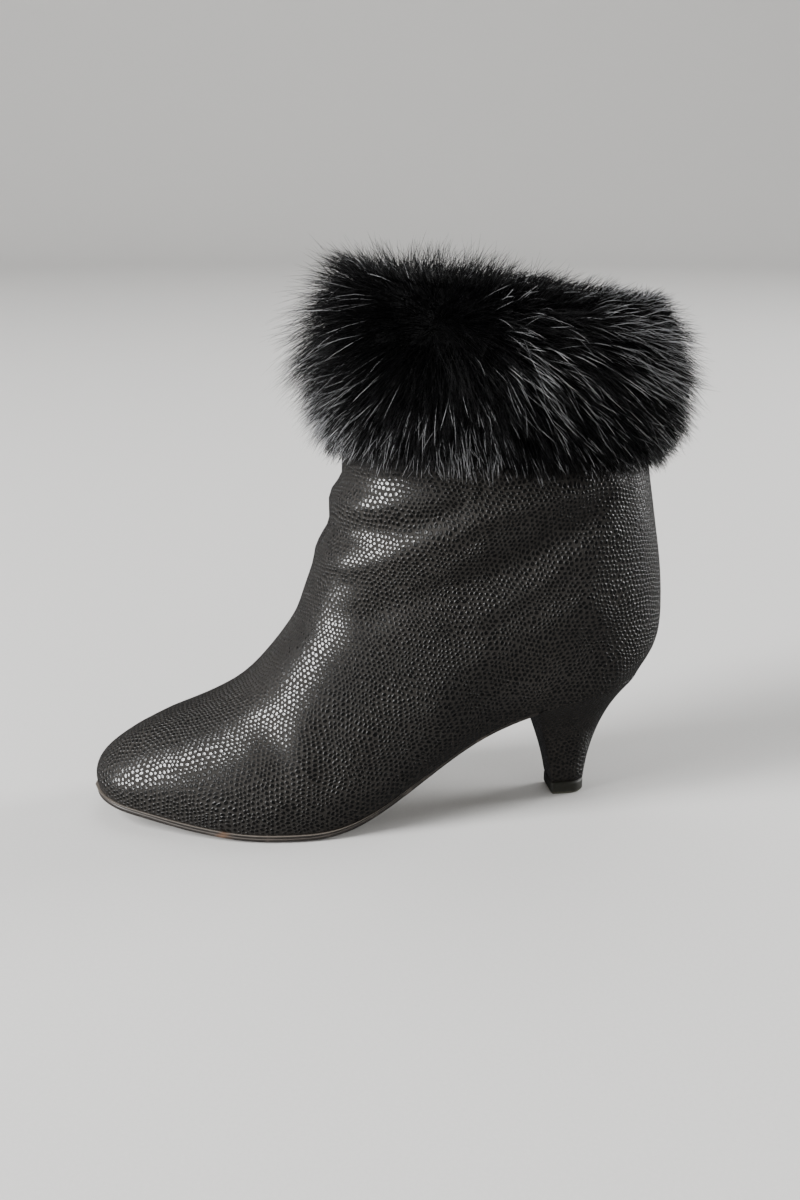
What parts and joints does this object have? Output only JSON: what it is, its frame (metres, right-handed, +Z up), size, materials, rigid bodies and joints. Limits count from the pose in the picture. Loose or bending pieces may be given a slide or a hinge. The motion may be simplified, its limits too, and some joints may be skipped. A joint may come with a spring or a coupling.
{
  "type": "heeled ankle boot with fur cuff",
  "caption": "Left ankle boot with a rounded toe, a tapered leather-covered heel, a thin outsole and a deep fur cuff at the collar. Hollow, open at the top.",
  "frame": {"origin": "on the floor, under the middle of the boot's box seen from above", "axes": "+Z up, the toe points to -Y, +X is the outer side of this left boot"},
  "size_m": [0.1336, 0.253, 0.2241],
  "materials": {
    "upper_leather": "black leather embossed with small round glossy pebbles",
    "insole_leather": "smooth dark sock leather, matte",
    "outsole": "black leather outsole with a paler burnished edge",
    "heel_cover": "the same pebbled black leather drawn over the heel",
    "top_piece": "hard matte black rubber",
    "fur": "long black fur with pale tipped guard hairs"
  },
  "bodies": {
    "root": {"upper": "upper_leather", "insole": "insole_leather", "outsole": "outsole", "heel": "heel_cover", "heel_top_piece": "top_piece", "fur_cuff": "fur"}
  },
  "joints": []
}
